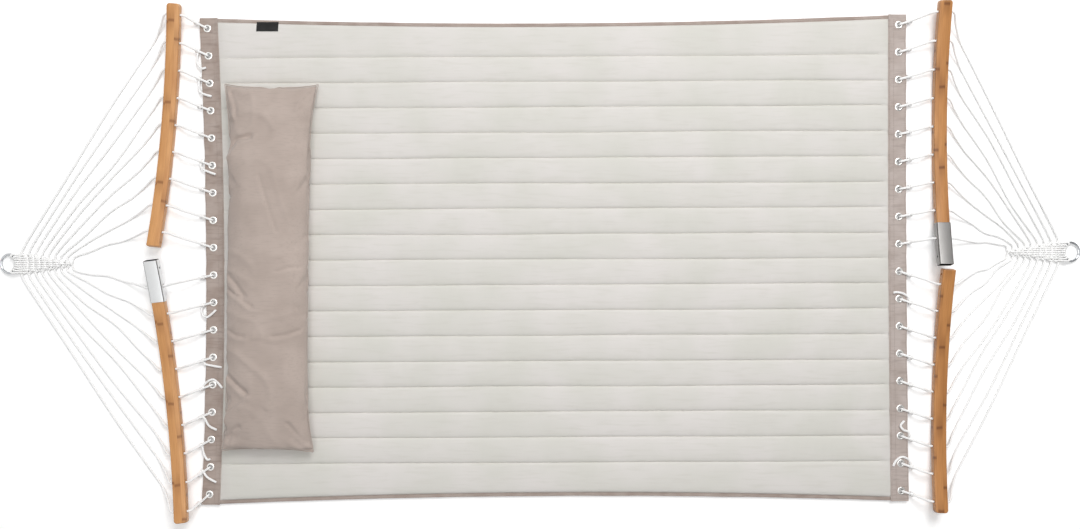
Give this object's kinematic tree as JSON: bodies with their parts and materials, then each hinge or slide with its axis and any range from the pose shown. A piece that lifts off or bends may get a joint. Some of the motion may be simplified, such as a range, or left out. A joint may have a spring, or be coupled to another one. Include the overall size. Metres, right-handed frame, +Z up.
{
  "type": "double hammock",
  "caption": "Quilted double hammock laid flat, with eyelet hems, a bolster pillow, curved bamboo spreader bars in halves, woven clews, cords and steel rings.",
  "frame": {"origin": "on the floor, under the middle of the whole hammock", "axes": "+X along the hammock from the pillow end to the other end, +Y across it, +Z up"},
  "size_m": [3.081, 1.472, 0.1095],
  "materials": {
    "quilt_cloth": "off-white quilted cloth with padding",
    "hem_cloth": "taupe canvas tape",
    "pillow_cloth": "taupe cloth, filled",
    "label_cloth": "black woven tape, bare",
    "cord_cotton": "white twisted cotton cord",
    "light_bamboo": "laminated bamboo, satin lacquer",
    "dark_bamboo": "laminated bamboo, satin lacquer",
    "sleeve_steel": "brushed",
    "ring_steel": "polished steel"
  },
  "bodies": {
    "bed": {"quilt_bed": "quilt_cloth", "upper_binding": "hem_cloth", "lower_binding": "hem_cloth", "edge_label": "label_cloth", "left_hem": "hem_cloth", "right_hem": "hem_cloth", "left_clew": "cord_cotton", "right_clew": "cord_cotton", "left_cord_01": "cord_cotton", "left_cord_02": "cord_cotton", "left_cord_03": "cord_cotton", "left_cord_04": "cord_cotton", "left_cord_05": "cord_cotton", "left_cord_06": "cord_cotton", "left_cord_07": "cord_cotton", "left_cord_08": "cord_cotton", "left_cord_09": "cord_cotton", "left_cord_10": "cord_cotton", "left_cord_11": "cord_cotton", "left_cord_12": "cord_cotton", "left_cord_13": "cord_cotton", "left_cord_14": "cord_cotton", "left_cord_15": "cord_cotton", "left_cord_16": "cord_cotton", "left_cord_17": "cord_cotton", "left_cord_18": "cord_cotton", "right_cord_01": "cord_cotton", "right_cord_02": "cord_cotton", "right_cord_03": "cord_cotton", "right_cord_04": "cord_cotton", "right_cord_05": "cord_cotton", "right_cord_06": "cord_cotton", "right_cord_07": "cord_cotton", "right_cord_08": "cord_cotton", "right_cord_09": "cord_cotton", "right_cord_10": "cord_cotton", "right_cord_11": "cord_cotton", "right_cord_12": "cord_cotton", "right_cord_13": "cord_cotton", "right_cord_14": "cord_cotton", "right_cord_15": "cord_cotton", "right_cord_16": "cord_cotton", "right_cord_17": "cord_cotton", "right_cord_18": "cord_cotton"},
    "pillow": {"pillow": "pillow_cloth"},
    "left_free_half": {"left_free_bar": "light_bamboo"},
    "left_fixed_half": {"left_fixed_bar": "light_bamboo", "left_sleeve": "sleeve_steel"},
    "right_free_half": {"right_free_bar": "dark_bamboo"},
    "right_fixed_half": {"right_fixed_bar": "dark_bamboo", "right_sleeve": "sleeve_steel"},
    "left_ring": {"left_ring": "ring_steel", "left_ring_loops": "cord_cotton"},
    "right_ring": {"right_ring": "ring_steel", "right_ring_loops": "cord_cotton"}
  },
  "joints": [
    {"name": "pillow_lift", "type": "slide", "parent": "bed", "child": "pillow", "axis": [0, 0, 1], "range_m": [0, 0.3]},
    {"name": "left_free_bar_swing", "type": "hinge", "parent": "bed", "child": "left_free_half", "pos_m": [-1.0302, 0.6952, 0.0391], "axis": [0, 0, 1], "range_deg": [-1.7, 6.8], "deforming": ["left_cord_01", "left_cord_02", "left_cord_03", "left_cord_04", "left_cord_05", "left_cord_06", "left_cord_07", "left_cord_08", "left_cord_09"]},
    {"name": "left_fixed_bar_swing", "type": "hinge", "parent": "bed", "child": "left_fixed_half", "pos_m": [-1.0083, -0.7019, 0.0443], "axis": [0, 0, 1], "range_deg": [-6.8, 1.7], "deforming": ["left_cord_10", "left_cord_11", "left_cord_12", "left_cord_13", "left_cord_14", "left_cord_15", "left_cord_16", "left_cord_17", "left_cord_18"]},
    {"name": "right_fixed_bar_swing", "type": "hinge", "parent": "bed", "child": "right_fixed_half", "pos_m": [1.136, 0.7024, 0.0443], "axis": [0, 0, 1], "range_deg": [-5, 1.7], "deforming": ["right_cord_01", "right_cord_02", "right_cord_03", "right_cord_04", "right_cord_05", "right_cord_06", "right_cord_07", "right_cord_08", "right_cord_09"]},
    {"name": "right_free_bar_swing", "type": "hinge", "parent": "bed", "child": "right_free_half", "pos_m": [1.1264, -0.6754, 0.0391], "axis": [0, 0, 1], "range_deg": [-1.7, 5], "deforming": ["right_cord_10", "right_cord_11", "right_cord_12", "right_cord_13", "right_cord_14", "right_cord_15", "right_cord_16", "right_cord_17", "right_cord_18"]},
    {"name": "left_ring_swing", "type": "hinge", "parent": "bed", "child": "left_ring", "pos_m": [-1.4849, -0.0056, 0.0129], "axis": [0, 1, 0], "range_deg": [0, 90]},
    {"name": "right_ring_swing", "type": "hinge", "parent": "bed", "child": "right_ring", "pos_m": [1.4849, 0.0284, 0.0129], "axis": [0, -1, 0], "range_deg": [0, 90]}
  ]
}
